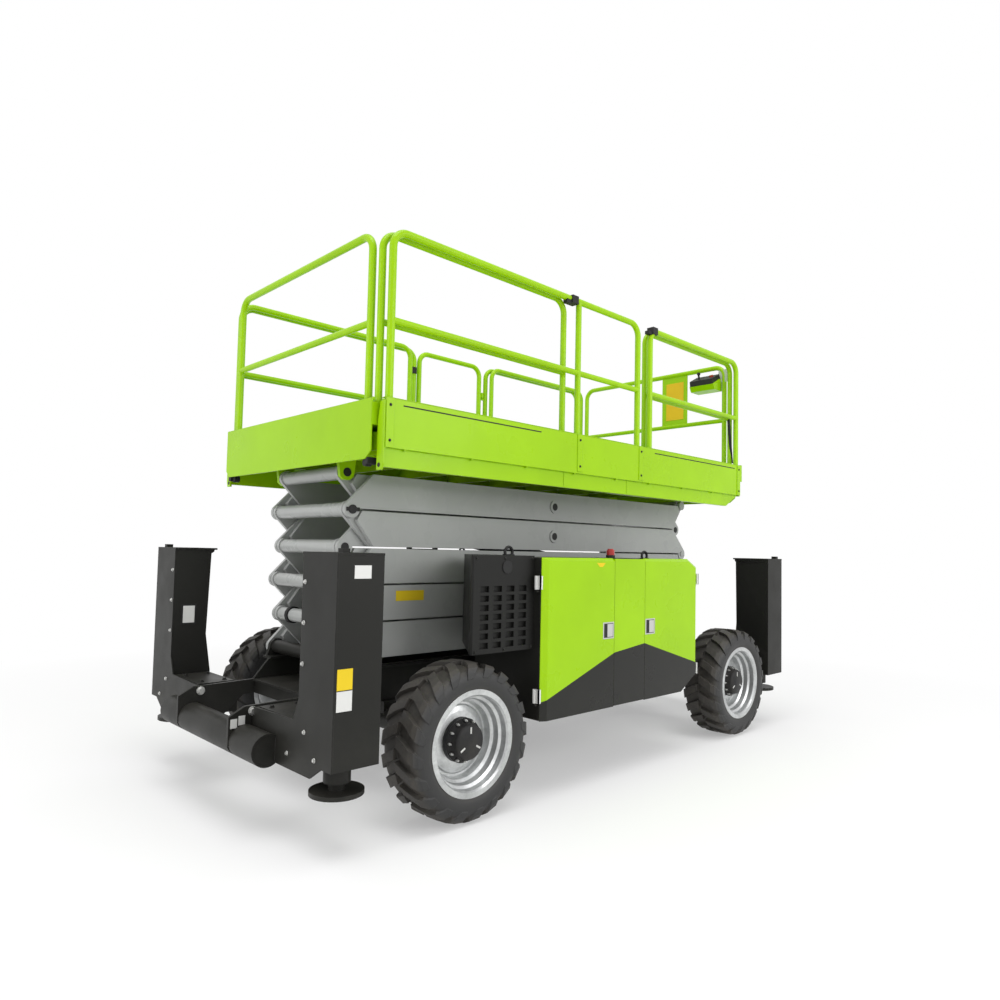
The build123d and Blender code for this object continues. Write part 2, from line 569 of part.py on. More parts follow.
# Sliding deck extensions: name, end, plate length
EXTENSIONS = [("steer_end", -1, 1560), ("fixed_end", 1, 1400)]
EXT_PLATE_Z = (FLOOR_Z + 32, FLOOR_Z + 40)
EXT_HALF_Y = 880
END_PLATE_X = DECK_X + 37
for name, end, reach in EXTENSIONS:
    with BuildPart() as deck:
        inner_x = END_PLATE_X - reach
        block((end * inner_x, end * END_PLATE_X), (-EXT_HALF_Y, EXT_HALF_Y), EXT_PLATE_Z)
        for runner_y in (-620, 0, 620):
            block((end * inner_x, end * END_PLATE_X), (runner_y - 20, runner_y + 20),
                (FLOOR_Z + 0.2, EXT_PLATE_Z[1]))
        for side in (-1, 1):
            ys = (side * (EXT_HALF_Y - TOE_SKIN), side * EXT_HALF_Y)
            block((end * (inner_x + 40), end * END_PLATE_X), ys, (EXT_PLATE_Z[0], TOE_TOP - 20))
        outline = [
            (-EXT_HALF_Y + 50, 1905), (-EXT_HALF_Y, 1945), (-EXT_HALF_Y, TOE_TOP), (EXT_HALF_Y, TOE_TOP),
            (EXT_HALF_Y, 1945), (EXT_HALF_Y - 50, 1905),
        ]
        plate_plane = Plane(origin=(end * END_PLATE_X, 0, 0), x_dir=(0, end, 0), z_dir=(end, 0, 0))
        plate(plate_plane, outline, 8)
    save(deck, f"{name}_extension_deck")
    with BuildPart() as rails:
        foot_z = EXT_PLATE_Z[1] + 0.2
        end_x = end * (END_PLATE_X - 30)
        bar([(end_x, -790, foot_z), (end_x, -790, TOP_RAIL_Z), (end_x, 790, TOP_RAIL_Z), (end_x, 790, foot_z)],
            RAIL_R, RAIL_BEND)
        bar([(end_x, -790, MID_RAIL_Z), (end_x, 790, MID_RAIL_Z)], RAIL_R - 2)
        loop_from = end * (END_PLATE_X - 50)
        loop_to = end * (inner_x + 60)
        for side in (-1, 1):
            y = side * (SIDE_LOOP_Y - 8)
            bar([(loop_from, y, foot_z), (loop_from, y, TOP_RAIL_Z - 2), (loop_to, y, TOP_RAIL_Z - 2), (loop_to, y, foot_z)],
                RAIL_R - 1, RAIL_BEND)
            bar([(loop_from, y, MID_RAIL_Z - 2), (loop_to, y, MID_RAIL_Z - 2)], RAIL_R - 3)
    save(rails, f"{name}_extension_rails")

with BuildPart() as control_box:
    block((END_PLATE_X - 187, END_PLATE_X - 30), (-690, -450), (TOP_RAIL_Z - 175, TOP_RAIL_Z - RAIL_R - 0.1))
save(control_box, "control_box")
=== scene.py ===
"""A rough-terrain scissor lift with jack columns: its finishes and its fine pieces."""

import json
import math

import bmesh
import bpy
from mathutils import Matrix, Vector


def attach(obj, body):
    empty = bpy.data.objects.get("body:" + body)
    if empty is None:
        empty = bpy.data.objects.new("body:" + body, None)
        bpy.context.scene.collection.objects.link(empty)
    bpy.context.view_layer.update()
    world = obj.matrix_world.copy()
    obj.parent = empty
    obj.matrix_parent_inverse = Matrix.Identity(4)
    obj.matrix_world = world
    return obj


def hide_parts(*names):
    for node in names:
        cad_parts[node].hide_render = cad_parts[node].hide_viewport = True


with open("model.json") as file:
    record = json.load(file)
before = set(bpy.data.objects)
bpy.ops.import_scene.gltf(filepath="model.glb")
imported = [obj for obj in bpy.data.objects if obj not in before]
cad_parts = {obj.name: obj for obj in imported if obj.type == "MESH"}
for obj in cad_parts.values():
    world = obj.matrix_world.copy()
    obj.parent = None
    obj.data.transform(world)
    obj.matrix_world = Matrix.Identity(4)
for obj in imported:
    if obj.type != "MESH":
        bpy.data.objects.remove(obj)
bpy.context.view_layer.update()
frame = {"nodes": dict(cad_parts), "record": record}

# ---------------------------------------------------------------- studio
# A white paper sweep, a soft overhead bank of lamps and a long window of light on the entry side.
# The camera stands low off the steered near corner, at the height of a person's chest.
scene = bpy.context.scene
scene.view_settings.view_transform = "Standard"

CAMERA_AT = Vector((-3.971, -4.036, 1.446))
AZIMUTH, ELEVATION, ROLL = math.radians(-44.39), math.radians(-2.99), math.radians(1.193)
camera_data = bpy.data.cameras.new("camera")
camera_data.lens = 26.07
camera_data.sensor_width = 36
camera_data.shift_x = -0.0096
camera_data.shift_y = 0.0125
camera_data.clip_end = 200
camera = bpy.data.objects.new("camera", camera_data)
scene.collection.objects.link(camera)
scene.camera = camera
level_reach = math.cos(ELEVATION)
back = Vector((math.sin(AZIMUTH) * level_reach, -math.cos(AZIMUTH) * level_reach, math.sin(ELEVATION)))
right = Vector((0, 0, 1)).cross(back).normalized()
up = back.cross(right)
rolled_right = right * math.cos(ROLL) + up * math.sin(ROLL)
rolled_up = up * math.cos(ROLL) - right * math.sin(ROLL)
turned = Matrix((rolled_right, rolled_up, back)).transposed().to_4x4()
camera.matrix_world = Matrix.Translation(CAMERA_AT) @ turned


def add(tree, kind, inputs=None, **settings):
    """A node with its settings, each named input given a value or the socket that feeds it."""
    node = tree.nodes.new(kind)
    for key, value in settings.items():
        setattr(node, key, value)
    for key, value in (inputs or {}).items():
        if isinstance(value, bpy.types.NodeSocket):
            tree.links.new(value, node.inputs[key])
        else:
            node.inputs[key].default_value = value
    return node


def maths(tree, operation, *values, clamp=False):
    """The result of one sum on sockets or numbers."""
    inputs = dict(enumerate(values))
    return add(tree, "ShaderNodeMath", inputs, operation=operation, use_clamp=clamp).outputs[0]


def ranged(tree, value, from_min, from_max, to_min=0.0, to_max=1.0, clamp=True):
    """A value carried from one range to another."""
    ends = {"From Min": from_min, "From Max": from_max, "To Min": to_min, "To Max": to_max}
    return add(tree, "ShaderNodeMapRange", {"Value": value, **ends}, clamp=clamp).outputs[0]


def new_material(name):
    """A material with an empty node tree, and the tree."""
    material = bpy.data.materials.new(name)
    material.use_nodes = True
    material.node_tree.nodes.clear()
    return material, material.node_tree


def lamp(name, place, towards, size, power):
    """A square soft box."""
    data = bpy.data.lights.new(name, "AREA")
    data.shape = "RECTANGLE"
    data.size, data.size_y = size
    data.energy = power
    light = bpy.data.objects.new(name, data)
    light.location = place
    light.rotation_mode = "QUATERNION"
    light.rotation_quaternion = (Vector(towards) - Vector(place)).to_track_quat("-Z", "Y")
    scene.collection.objects.link(light)


lamp("overhead_bank", (-4.0, -4.0, 22.0), (0, 0, 0.8), (17, 12), 2450)
lamp("entry_side_window", (1.5, -9.0, 4.2), (0.5, 0, 1.2), (8, 4), 310)
lamp("steer_end_window", (-9.0, 1.0, 3.8), (0, 0, 1.4), (5, 4), 190)

world = bpy.data.worlds.new("paper_white")
scene.world = world
world.use_nodes = True
tree = world.node_tree
tree.nodes.clear()
path = add(tree, "ShaderNodeLightPath").outputs
seen = maths(tree, "ADD", path["Is Camera Ray"], path["Is Glossy Ray"])
seen = maths(tree, "ADD", seen, path["Is Transmission Ray"], clamp=True)
strength = ranged(tree, seen, 0.0, 1.0, 0.62, 1.0)
sky = add(tree, "ShaderNodeBackground", {"Color": (1, 1, 1, 1), "Strength": strength})
add(tree, "ShaderNodeOutputWorld", {"Surface": sky.outputs[0]})

FLOOR_REACH = 60
corners = [(-FLOOR_REACH, -FLOOR_REACH, 0), (FLOOR_REACH, -FLOOR_REACH, 0)]
corners += [(FLOOR_REACH, FLOOR_REACH, 0), (-FLOOR_REACH, FLOOR_REACH, 0)]
floor_mesh = bpy.data.meshes.new("floor")
floor_mesh.from_pydata(corners, [], [(0, 1, 2, 3)])
floor = bpy.data.objects.new("floor", floor_mesh)
scene.collection.objects.link(floor)
floor.location.z = -0.001
floor_material, tree = new_material("paper_floor")
path = add(tree, "ShaderNodeLightPath").outputs
place = add(tree, "ShaderNodeTexCoord").outputs["Object"]
reach = add(tree, "ShaderNodeVectorMath", {0: place}, operation="LENGTH").outputs["Value"]
far_off = ranged(tree, reach, 3.2, 6.5)
seen = maths(tree, "MAXIMUM", path["Is Camera Ray"], path["Is Glossy Ray"])
faded = maths(tree, "MULTIPLY", ranged(tree, far_off, 0.0, 1.0, 0.35, 1.0), seen)
paper = add(tree, "ShaderNodeBsdfDiffuse", {"Color": (0.86, 0.86, 0.86, 1)})
glow = add(tree, "ShaderNodeEmission", {"Color": (1, 1, 1, 1), "Strength": 1.0})
mixed = add(tree, "ShaderNodeMixShader", {0: faded, 1: paper.outputs[0], 2: glow.outputs[0]})
add(tree, "ShaderNodeOutputMaterial", {"Surface": mixed.outputs[0]})
floor_mesh.materials.append(floor_material)

# ---------------------------------------------------------------- painted steelwork
# The whole machine is welded and folded steel plate with a sprayed coat. The coat has a faint orange
# peel, rubs thin on corners and holds a little dust on level places. Rods and moulded plastic wear
# in the same way.


def noise(tree, place, scale, detail, roughness=0.5):
    """Cloudy noise at a place."""
    inputs = {"Vector": place, "Scale": scale, "Detail": detail, "Roughness": roughness}
    return add(tree, "ShaderNodeTexNoise", inputs).outputs["Fac"]


def blend(tree, share, first, second):
    """One colour passing into another."""
    return add(tree, "ShaderNodeMixRGB", {"Fac": share, "Color1": first, "Color2": second}).outputs[0]


def group(name, inputs, outputs, kind="ShaderNodeTree"):
    """A node group with its sockets, and the sockets that bring its inputs in and take its outputs out."""
    tree = bpy.data.node_groups.new(name, kind)
    for label, socket_type, *value in inputs:
        socket = tree.interface.new_socket(label, in_out="INPUT", socket_type=socket_type)
        if value:
            socket.default_value = value[0]
    for label, socket_type in outputs:
        tree.interface.new_socket(label, in_out="OUTPUT", socket_type=socket_type)
    return tree, tree.nodes.new("NodeGroupInput").outputs, tree.nodes.new("NodeGroupOutput").inputs


coat, given, taken = group(
    "sprayed coat",
    [
        ("Paint", "NodeSocketColor", (0.5, 0.5, 0.5, 1)),
        ("Rubbed", "NodeSocketColor", (0.2, 0.2, 0.2, 1)),
        ("Rub", "NodeSocketFloat", 0.5),
        ("Dust", "NodeSocketFloat", 0.3),
        ("Gloss", "NodeSocketFloat", 0.35),
        ("Peel", "NodeSocketFloat", 0.15),
    ],
    [("Color", "NodeSocketColor"), ("Roughness", "NodeSocketFloat"), ("Normal", "NodeSocketVector")],
)
place = add(coat, "ShaderNodeTexCoord").outputs["Object"]
facing = add(coat, "ShaderNodeNewGeometry").outputs["Normal"]
rounded = add(coat, "ShaderNodeBevel", {"Radius": 0.004}, samples=4).outputs[0]
tone = ranged(coat, noise(coat, place, 1.7, 4.0, 0.6), 0.3, 0.7, 0.93, 1.05)
toned = add(coat, "ShaderNodeVectorMath", {0: given["Paint"], "Scale": tone}, operation="SCALE").outputs[0]
turn = add(coat, "ShaderNodeVectorMath", {0: facing, 1: rounded}, operation="DOT_PRODUCT").outputs["Value"]
corner = ranged(coat, turn, 0.97, 0.80)
chips = ranged(coat, noise(coat, place, 23.0, 8.0, 0.7), 0.46, 0.62)
rubbed = maths(coat, "MULTIPLY", maths(coat, "MULTIPLY", corner, chips), given["Rub"])
worn = blend(coat, rubbed, toned, given["Rubbed"])
height = add(coat, "ShaderNodeSeparateXYZ", {0: place}).outputs["Z"]
upward = add(coat, "ShaderNodeSeparateXYZ", {0: facing}).outputs["Z"]
settled = ranged(coat, upward, 0.4, 1.0, 0.0, 0.55)
splashed = ranged(coat, height, 0.75, 0.0, 0.0, 0.6)
dusty = maths(coat, "MAXIMUM", settled, splashed)
cloud = ranged(coat, noise(coat, place, 7.0, 7.0, 0.65), 0.35, 0.75)
dusty = maths(coat, "MULTIPLY", maths(coat, "MULTIPLY", dusty, cloud), given["Dust"])
coat.links.new(blend(coat, dusty, worn, (0.30, 0.27, 0.23, 1)), taken["Color"])
smear = ranged(coat, noise(coat, place, 5.0, 5.0), 0.3, 0.7, -0.05, 0.07)
rough = maths(coat, "ADD", given["Gloss"], smear)
coat.links.new(maths(coat, "MULTIPLY_ADD", dusty, 0.5, rough, clamp=True), taken["Roughness"])
peel = noise(coat, place, 260.0, 2.0)
bump = {"Strength": given["Peel"], "Distance": 0.001, "Height": peel, "Normal": rounded}
coat.links.new(add(coat, "ShaderNodeBump", bump).outputs[0], taken["Normal"])


def painted(name, paint, rubbed, rub, dust, gloss, peel, clear_coat=0.0, metal=0.0):
    """A material of one colour, with the shared coat's wear."""
    material, tree = new_material(name)
    surface = add(tree, "ShaderNodeGroup", {
        "Paint": (*paint, 1), "Rubbed": (*rubbed, 1), "Rub": rub, "Dust": dust, "Gloss": gloss, "Peel": peel,
    }, node_tree=coat).outputs
    shader = add(tree, "ShaderNodeBsdfPrincipled", {
        "Base Color": surface["Color"],
        "Roughness": surface["Roughness"],
        "Normal": surface["Normal"],
        "Metallic": metal,
        "Specular IOR Level": 0.18,
        "Coat Weight": clear_coat,
        "Coat Roughness": 0.12,
    })
    add(tree, "ShaderNodeOutputMaterial", {"Surface": shader.outputs[0]})
    return material


def grey(shade):
    """A colour without hue."""
    return (shade, shade, shade)


LIME = (0.315, 0.575, 0.001)
CHARCOAL = (0.016, 0.016, 0.014)
lime_paint = painted(
    "lime_paint", LIME, (0.22, 0.36, 0.02), rub=0.12, dust=0.06, gloss=0.30, peel=0.04, clear_coat=0.08,
)
charcoal_paint = painted("charcoal_paint", CHARCOAL, grey(0.13), rub=0.40, dust=0.12, gloss=0.42, peel=0.15)
arm_paint = painted(
    "arm_paint", (0.40, 0.41, 0.40), grey(0.62), rub=0.25, dust=0.12, gloss=0.28, peel=0.06, clear_coat=0.2,
)
cylinder_paint = painted("cylinder_paint", grey(0.025), grey(0.12), rub=0.4, dust=0.3, gloss=0.4, peel=0.15)
chromed_rod = painted(
    "chromed_rod", (0.62, 0.62, 0.63), grey(0.7), rub=0.1, dust=0.05, gloss=0.14, peel=0.02, metal=1.0,
)
black_plastic = painted("black_plastic", grey(0.022), grey(0.06), rub=0.3, dust=0.2, gloss=0.5, peel=0.5)

# ---------------------------------------------------------------- tyres
# Foam-filled rough-terrain tyres with directional lugs: bars that slant off the middle and bend
# down over the shoulder, staggered side to side. The tread is brown with dry dust, the walls are black.
TYRE_RADIUS = 0.419
LUGS_ROUND = 20
PITCH_LENGTH = 2 * math.pi * TYRE_RADIUS / LUGS_ROUND
LUG_DRAFT = 0.004
# section along a lug: place across the tyre, edges along the tread, top radius, the foot's place across
# and its radius
LUG = [
    (0.004, 0.026, 0.082, 0.4190, 0.004, 0.388),
    (0.060, 0.000, 0.056, 0.4180, 0.060, 0.388),
    (0.108, -0.032, 0.030, 0.4150, 0.108, 0.384),
    (0.136, -0.056, 0.018, 0.4020, 0.126, 0.370),
    (0.148, -0.070, -0.004, 0.3780, 0.136, 0.354),
    (0.1520, -0.078, -0.030, 0.3480, 0.143, 0.338),
]
# place across the tyre, radius
CARCASS = [
    (0.120, 0.262), (0.139, 0.285), (0.1475, 0.312), (0.1500, 0.340), (0.1440, 0.366), (0.1300, 0.384),
    (0.1000, 0.3905), (0.0500, 0.3925), (0.0, 0.393), (-0.0500, 0.3925), (-0.1000, 0.3905), (-0.1300, 0.384),
    (-0.1440, 0.366), (-0.1500, 0.340), (-0.1475, 0.312), (-0.139, 0.285), (-0.120, 0.262),
]
STEER_X, FIXED_X = -1.36, 1.512
# wheel, place along X, side
WHEELS = [
    ("steer_near", STEER_X, -1), ("steer_far", STEER_X, 1),
    ("fixed_near", FIXED_X, -1), ("fixed_far", FIXED_X, 1),
]
WHEEL_ACROSS = 0.9975


def bridged(made, rings):
    """Faces from each ring of corners to the next."""
    for near, far in zip(rings, rings[1:]):
        for k in range(len(near)):
            after = (k + 1) % len(near)
            made.faces.new((near[k], near[after], far[after], far[k]))


def shape(name, made):
    """An object of the mesh that was made."""
    mesh = bpy.data.meshes.new(name)
    made.to_mesh(mesh)
    made.free()
    return bpy.data.objects.new(name, mesh)


def on_tyre(along, across, radius):
    """A point by its distance along the tread, its place across the tyre and its radius."""
    angle = along / TYRE_RADIUS
    return (-radius * math.cos(angle), across, radius * math.sin(angle))


made = bmesh.new()
for side, shift in ((-1, 0), (1, PITCH_LENGTH / 2)):
    rings = []
    for across, start, end, top, foot_across, foot in LUG:
        corners = [(start, across, top), (end, across, top)]
        corners += [(end + LUG_DRAFT, foot_across, foot), (start - LUG_DRAFT, foot_across, foot)]
        rings.append([made.verts.new(on_tyre(u + shift, side * v, r)) for u, v, r in corners])
    bridged(made, rings)
    made.faces.new(rings[0])
    made.faces.new(rings[-1])
bmesh.ops.recalc_face_normals(made, faces=made.faces)
one_pitch = shape("lug_pitch", made)

round_axle, given, taken = group(
    "repeat round axle",
    [
        ("Geometry", "NodeSocketGeometry"), ("Repeat", "NodeSocketObject"), ("Count", "NodeSocketInt"),
        ("Material", "NodeSocketMaterial"),
    ],
    [("Geometry", "NodeSocketGeometry")],
    "GeometryNodeTree",
)
points = add(round_axle, "GeometryNodePoints", {"Count": given["Count"]}).outputs[0]
index = add(round_axle, "GeometryNodeInputIndex").outputs[0]
angle = maths(round_axle, "MULTIPLY", index, maths(round_axle, "DIVIDE", 2 * math.pi, given["Count"]))
turned = add(round_axle, "ShaderNodeCombineXYZ", {"Y": angle}).outputs[0]
single = add(round_axle, "GeometryNodeObjectInfo", {"Object": given["Repeat"]}).outputs["Geometry"]
placing = {"Points": points, "Instance": single, "Rotation": turned}
copies = add(round_axle, "GeometryNodeInstanceOnPoints", placing).outputs[0]
solid = add(round_axle, "GeometryNodeRealizeInstances", {"Geometry": copies}).outputs[0]
joined = add(round_axle, "GeometryNodeJoinGeometry")
round_axle.links.new(given["Geometry"], joined.inputs[0])
round_axle.links.new(solid, joined.inputs[0])
colouring = {"Geometry": joined.outputs[0], "Material": given["Material"]}
coloured = add(round_axle, "GeometryNodeSetMaterial", colouring).outputs[0]
round_axle.links.new(coloured, taken[0])


def grown(base, tree, values):
    """The mesh that a Geometry Nodes tree makes from a base object, each named input given its value."""
    modifier = base.modifiers.new("grow", "NODES")
    modifier.node_group = tree
    for item in tree.interface.items_tree:
        if item.in_out == "INPUT" and item.name in values:
            modifier[item.identifier] = values[item.name]
    scene.collection.objects.link(base)
    bpy.context.view_layer.update()
    mesh = bpy.data.meshes.new_from_object(base.evaluated_get(bpy.context.evaluated_depsgraph_get()))
    bpy.data.objects.remove(base)
    return mesh


def turned_ring(name, profile, segments):
    """A ring turned about Y from a closed (place along Y, radius) profile."""
    made = bmesh.new()
    rings = []
    for step in range(segments):
        angle = 2 * math.pi * step / segments
        rings.append([made.verts.new((-r * math.cos(angle), y, r * math.sin(angle))) for y, r in profile])
    bridged(made, rings + rings[:1])
    bmesh.ops.remove_doubles(made, verts=made.verts, dist=1e-6)
    bmesh.ops.recalc_face_normals(made, faces=made.faces)
    for face in made.faces:
        face.smooth = True
    return shape(name, made)


def on_axle(name, mesh, along, side):
    """A piece made round the origin for the near side, turned outward and set at its wheel's centre."""
    if side > 0:
        mesh.transform(Matrix.Scale(-1, 4, (0, 1, 0)))
        mesh.flip_normals()
    mesh.transform(Matrix.Translation((along, side * WHEEL_ACROSS, TYRE_RADIUS)))
    piece = bpy.data.objects.new(name, mesh)
    scene.collection.objects.link(piece)
    return piece


rubber, tree = new_material("tyre_rubber")
place = add(tree, "ShaderNodeTexCoord").outputs["Object"]
rounded = add(tree, "ShaderNodeBevel", {"Radius": 0.005}, samples=4).outputs[0]
across = maths(tree, "ABSOLUTE", add(tree, "ShaderNodeSeparateXYZ", {0: place}).outputs["Y"])
off_middle = maths(tree, "ABSOLUTE", maths(tree, "SUBTRACT", across, WHEEL_ACROSS))
on_tread = ranged(tree, off_middle, 0.146, 0.128)
cloud = ranged(tree, noise(tree, place, 14.0, 8.0, 0.7), 0.32, 0.68, 0.35, 1.0)
dusty = maths(tree, "MULTIPLY", maths(tree, "MULTIPLY", on_tread, cloud), 0.38)
colour = blend(tree, dusty, (0.018, 0.018, 0.018, 1), (0.125, 0.108, 0.085, 1))
grain = noise(tree, place, 420.0, 3.0)
bump = add(tree, "ShaderNodeBump", {"Strength": 0.35, "Distance": 0.001, "Height": grain, "Normal": rounded})
shine = ranged(tree, dusty, 0.0, 1.0, 0.52, 0.95)
surface = {"Base Color": colour, "Roughness": shine, "Normal": bump.outputs[0]}
shader = add(tree, "ShaderNodeBsdfPrincipled", surface)
add(tree, "ShaderNodeOutputMaterial", {"Surface": shader.outputs[0]})

for wheel, along, side in WHEELS:
    carcass = turned_ring(f"{wheel}_carcass", CARCASS, 72)
    mesh = grown(carcass, round_axle, {"Repeat": one_pitch, "Count": LUGS_ROUND, "Material": rubber})
    tyre = on_axle(f"{wheel}_lugged_tyre", mesh, along, side)
    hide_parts(f"{wheel}_tyre")
    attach(tyre, f"{wheel}_wheel")

# ---------------------------------------------------------------- rims
# Pressed steel rims in bright zinc plate, with a spangle and run marks. The plate stops at the hub's
# bolted base, which is black.
HUB_EDGE = 0.1195
zinc, tree = new_material("zinc_plate")
place = add(tree, "ShaderNodeTexCoord").outputs["Object"]
rounded = add(tree, "ShaderNodeBevel", {"Radius": 0.003}, samples=4).outputs[0]
spangle = add(tree, "ShaderNodeTexVoronoi", {"Vector": place, "Scale": 70.0}).outputs["Color"]
spangle = add(tree, "ShaderNodeRGBToBW", {0: spangle}).outputs[0]
shade = maths(tree, "MULTIPLY_ADD", spangle, 0.12, noise(tree, place, 9.0, 6.0, 0.65))
shade = ranged(tree, shade, 0.35, 0.75)
plated = blend(tree, shade, (0.40, 0.41, 0.41, 1), (0.66, 0.67, 0.67, 1))
parts = add(tree, "ShaderNodeSeparateXYZ", {0: place}).outputs
offsets = [maths(tree, "ABSOLUTE", maths(tree, "SUBTRACT", parts["X"], x)) for x in (STEER_X, FIXED_X)]
raised = maths(tree, "SUBTRACT", parts["Z"], TYRE_RADIUS)
arm = add(tree, "ShaderNodeCombineXYZ", {"X": maths(tree, "MINIMUM", *offsets), "Y": raised}).outputs[0]
radius = add(tree, "ShaderNodeVectorMath", {0: arm}, operation="LENGTH").outputs["Value"]
on_hub = maths(tree, "LESS_THAN", radius, HUB_EDGE)
shader = add(tree, "ShaderNodeBsdfPrincipled", {
    "Base Color": blend(tree, on_hub, plated, (0.015, 0.015, 0.016, 1)),
    "Metallic": maths(tree, "SUBTRACT", 0.85, on_hub, clamp=True),
    "Roughness": ranged(tree, shade, 0.0, 1.0, 0.46, 0.30),
    "Normal": rounded,
})
add(tree, "ShaderNodeOutputMaterial", {"Surface": shader.outputs[0]})

# ---------------------------------------------------------------- jack columns
# Four folded steel columns at the corners house the jack legs, on arms welded to the chassis.
# Each has a lipped cap and a bolted end plate that widens into its arm, with blank printed plates.


def prism(made, outline, across, low, high, far_outline=None):
    """A bar between two places along the axis across, from one outline to the same one or another."""
    place = {
        "x": lambda a, b, c: (c, a, b),
        "y": lambda a, b, c: (a, c, b),
        "z": lambda a, b, c: (a, b, c),
    }[across]
    near = [made.verts.new(place(a, b, low)) for a, b in outline]
    far = [made.verts.new(place(a, b, high)) for a, b in far_outline or outline]
    count = len(near)
    made.faces.new(near)
    made.faces.new(list(reversed(far)))
    for k in range(count):
        made.faces.new((near[k], far[k], far[(k + 1) % count], near[(k + 1) % count]))


def box(made, xs, ys, zs):
    """A plain box."""
    prism(made, [(xs[0], ys[0]), (xs[1], ys[0]), (xs[1], ys[1]), (xs[0], ys[1])], "z", *zs)


def rod(made, start, end, radius, sides=28):
    """A round bar between two points."""
    start, end = Vector(start), Vector(end)
    turn = (end - start).to_track_quat("Z", "Y").to_matrix().to_4x4()
    bmesh.ops.create_cone(
        made, cap_ends=True, segments=sides, radius1=radius, radius2=radius, depth=(end - start).length,
        matrix=Matrix.Translation((start + end) / 2) @ turn,
    )


def finished(name, made, material, body, stands_for=()):
    """The piece of what was made, which rides a body and may stand for plainer pieces."""
    bmesh.ops.recalc_face_normals(made, faces=made.faces)
    piece = shape(name, made)
    piece.data.materials.append(material)
    scene.collection.objects.link(piece)
    if stands_for:
        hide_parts(*stands_for)
    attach(piece, body)


def boxed(name, boxes, material, body):
    """A piece of plain boxes, each by its spans along X, Y and Z."""
    made = bmesh.new()
    for spans in boxes:
        box(made, *spans)
    finished(name, made, material, body)


COLUMN_Y = (0.836, 1.148)
PLATE_X = (2.217, 2.225)
CAP_Z = (1.408, 1.420)
# side views of a column, distance along X from the machine's middle and height: the inner face is waisted
COLUMN_INNER = [
    (2.217, 0.430), (2.217, 1.408), (1.970, 1.408), (1.972, 1.396), (1.990, 1.384), (2.006, 0.850),
    (1.970, 0.610), (1.970, 0.430),
]
COLUMN_OUTER = [
    (2.217, 0.430), (2.217, 1.408), (1.970, 1.408), (1.970, 1.396), (1.970, 1.384), (1.970, 0.850),
    (1.970, 0.610), (1.970, 0.430),
]
# view from above of a cap: distances from the machine's middle along X and Y
CAP = [(2.225, 0.830), (1.954, 0.830), (1.969, 1.149), (2.225, 1.149)]
# end views of the bolted plate and of the arm: distance along Y from the machine's middle, height
END_PLATE = [
    (1.148, 0.430), (1.148, 1.408), (0.836, 1.408), (0.836, 0.720), (0.790, 0.612), (0.356, 0.600),
    (0.356, 0.420), (0.640, 0.368), (0.960, 0.368), (1.060, 0.430),
]
ARM_END = [(0.355, 0.598), (0.837, 0.598), (0.837, 0.372), (0.640, 0.372), (0.355, 0.425)]
TUBE_X, TUBE_Z, TUBE_BORE = 2.267, 0.432, 0.0735
made = bmesh.new()
for end in (-1, 1):
    for side in (-1, 1):
        inner, outer = ([(end * x, z) for x, z in outline] for outline in (COLUMN_INNER, COLUMN_OUTER))
        prism(made, inner, "y", side * COLUMN_Y[0], side * COLUMN_Y[1], outer)
        prism(made, [(side * y, z) for y, z in END_PLATE], "x", end * PLATE_X[0], end * PLATE_X[1])
        prism(made, [(side * y, z) for y, z in ARM_END], "x", end * 1.990, end * 2.216)
        prism(made, [(end * x, side * y) for x, y in CAP], "z", *CAP_Z)
        box(made, (end * 2.150, end * 2.190), (side * 1.090, side * 1.130), (CAP_Z[1], 1.440))
        box(made, (end * 1.995, end * 2.210), (side * 0.40, side * 0.80), (0.598, 0.606))
        rod(made, (end * TUBE_X, side * 0.600, TUBE_Z), (end * TUBE_X, side * 0.6185, TUBE_Z), TUBE_BORE)
finished("jack_column_shells", made, charcoal_paint, "chassis", ["jack_columns"])

label_white = painted("label_white", (0.72, 0.72, 0.70), grey(0.5), rub=0.2, dust=0.2, gloss=0.4, peel=0.02)
label_yellow = painted(
    "label_yellow", (0.80, 0.58, 0.02), (0.5, 0.4, 0.1), rub=0.2, dust=0.2, gloss=0.4, peel=0.02,
)
ON_COLUMN_Y = (-1.1485, -1.1492)
ON_CHEEK_Y = (-0.355, -0.3562)
boxed("white_labels", [
    ((-2.135, -2.043), ON_COLUMN_Y, (1.300, 1.362)),
    ((-2.210, -2.128), ON_COLUMN_Y, (0.700, 0.792)),
    ((-2.160, -2.086), (COLUMN_Y[0], 0.8345), (0.930, 1.040)),
    ((-2.342, -2.306), ON_CHEEK_Y, (0.500, 0.548)),
    ((-2.300, -2.264), ON_CHEEK_Y, (0.512, 0.560)),
], label_white, "chassis")
boxed("yellow_label", [((-2.210, -2.128), ON_COLUMN_Y, (0.796, 0.892))], label_yellow, "chassis")
boxed("label_surround", [((-2.172, -2.074), (COLUMN_Y[0], 0.8350), (0.918, 1.052))], black_plastic, "chassis")

